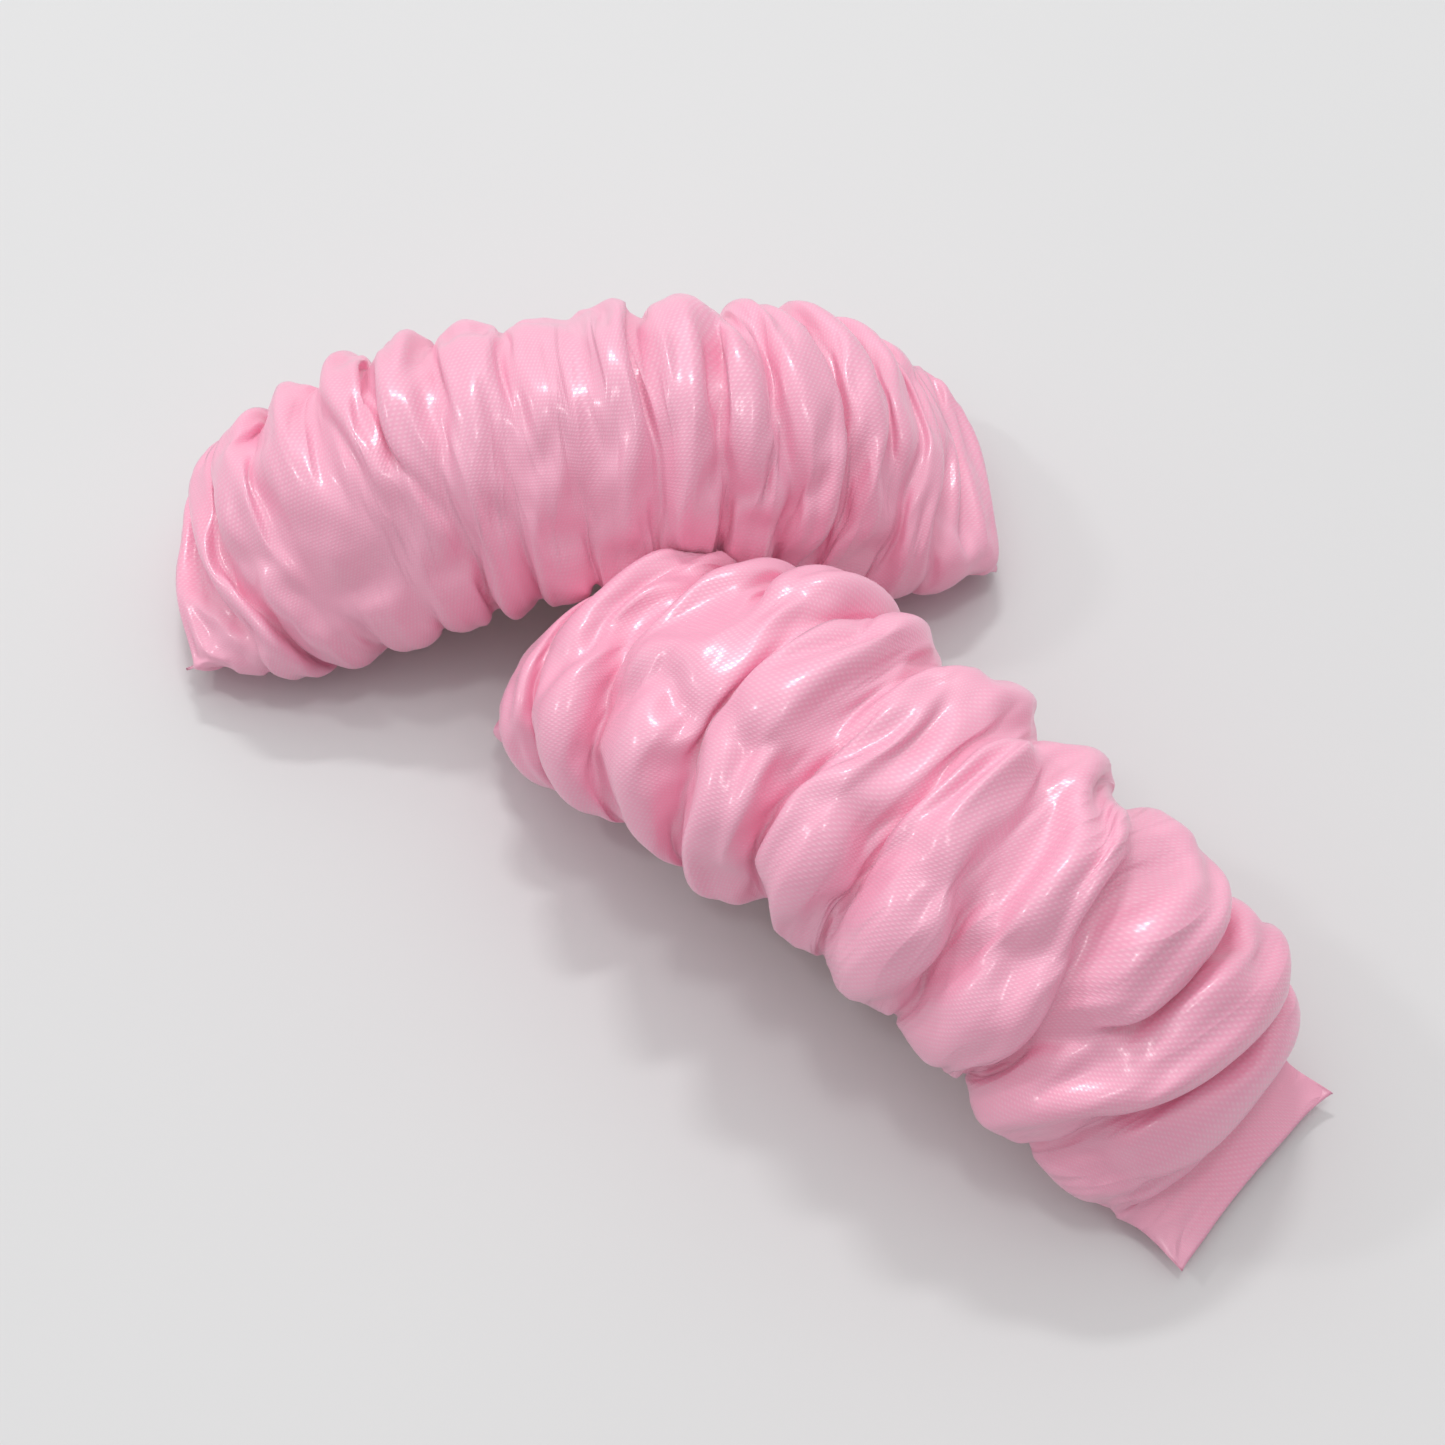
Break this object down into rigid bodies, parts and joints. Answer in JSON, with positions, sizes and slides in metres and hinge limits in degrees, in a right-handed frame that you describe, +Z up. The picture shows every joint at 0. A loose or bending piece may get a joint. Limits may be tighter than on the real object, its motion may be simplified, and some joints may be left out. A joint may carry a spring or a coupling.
{
  "type": "pair of ruched satin hair barrettes",
  "caption": "Pair of arched spring barrettes, each under a ruched pink satin sleeve, one lying in front of the other.",
  "frame": {"origin": "centre of the pair's bounding box, on the surface it rests on", "axes": "+X along the rear barrette's chord, from its hinge to its catch; +Y from the front barrette towards the rear one; +Z up"},
  "size_m": [0.1328, 0.1398, 0.041],
  "materials": {
    "satin": "satin",
    "ribbon": "matte",
    "elastic": "matte",
    "gold_plate": "satin",
    "spring_steel": "satin"
  },
  "bodies": {
    "rear_clip": {"rear_base_plate": "gold_plate", "rear_hinge_pin": "spring_steel", "rear_catch_bracket": "gold_plate", "rear_catch_rivet": "spring_steel", "rear_backing_ribbon": "ribbon", "rear_gathering_elastic": "elastic", "rear_satin_sleeve": "satin"},
    "rear_lever": {"rear_closing_lever": "gold_plate"},
    "rear_strip": {"rear_tension_strip": "spring_steel"},
    "rear_ear_left": {"rear_catch_ear_left": "gold_plate"},
    "rear_ear_right": {"rear_catch_ear_right": "gold_plate"},
    "front_clip": {"front_base_plate": "gold_plate", "front_hinge_pin": "spring_steel", "front_catch_bracket": "gold_plate", "front_catch_rivet": "spring_steel", "front_backing_ribbon": "ribbon", "front_gathering_elastic": "elastic", "front_satin_sleeve": "satin"},
    "front_lever": {"front_closing_lever": "gold_plate"},
    "front_strip": {"front_tension_strip": "spring_steel"},
    "front_ear_left": {"front_catch_ear_left": "gold_plate"},
    "front_ear_right": {"front_catch_ear_right": "gold_plate"}
  },
  "joints": [
    {"name": "rear_lever_swing", "type": "hinge", "parent": "rear_clip", "child": "rear_lever", "pos_m": [-0.04837, 0.04838, 0.00345], "axis": [0, 1, 0], "range_deg": [0, 75]},
    {"name": "rear_strip_flex", "type": "hinge", "parent": "rear_clip", "child": "rear_strip", "pos_m": [-0.04837, 0.04838, 0.00345], "axis": [0, -1, 0], "range_deg": [0, 1.5], "stiffness_Nm_per_rad": 0.5},
    {"name": "rear_ear_left_squeeze", "type": "hinge", "parent": "rear_clip", "child": "rear_ear_left", "pos_m": [0.02893, 0.05028, 0.00575], "axis": [-1, 0, 0], "range_deg": [0, 12], "stiffness_Nm_per_rad": 0.01},
    {"name": "rear_ear_right_squeeze", "type": "hinge", "parent": "rear_clip", "child": "rear_ear_right", "pos_m": [0.02893, 0.04648, 0.00575], "axis": [1, 0, 0], "range_deg": [0, 12]},
    {"name": "front_pull_away", "type": "slide", "parent": "rear_clip", "child": "front_clip", "axis": [0.6225, -0.7826, 0], "range_m": [0, 0.06]},
    {"name": "front_lever_swing", "type": "hinge", "parent": "front_clip", "child": "front_lever", "pos_m": [-0.00352, 0.01272, 0.00345], "axis": [0.7826, 0.6225, 0], "range_deg": [0, 75]},
    {"name": "front_strip_flex", "type": "hinge", "parent": "front_clip", "child": "front_strip", "pos_m": [-0.00352, 0.01272, 0.00345], "axis": [-0.7826, -0.6225, 0], "range_deg": [0, 1.5], "stiffness_Nm_per_rad": 0.5},
    {"name": "front_ear_left_squeeze", "type": "hinge", "parent": "front_clip", "child": "front_ear_left", "pos_m": [0.04608, -0.0466, 0.00575], "axis": [-0.6225, 0.7826, 0], "range_deg": [0, 12], "stiffness_Nm_per_rad": 0.01},
    {"name": "front_ear_right_squeeze", "type": "hinge", "parent": "front_clip", "child": "front_ear_right", "pos_m": [0.04311, -0.04896, 0.00575], "axis": [0.6225, -0.7826, 0], "range_deg": [0, 12]}
  ],
  "couplings": [
    {"joint": "rear_ear_right_squeeze", "follows": "rear_ear_left_squeeze", "ratio": 1},
    {"joint": "front_ear_right_squeeze", "follows": "front_ear_left_squeeze", "ratio": 1}
  ]
}
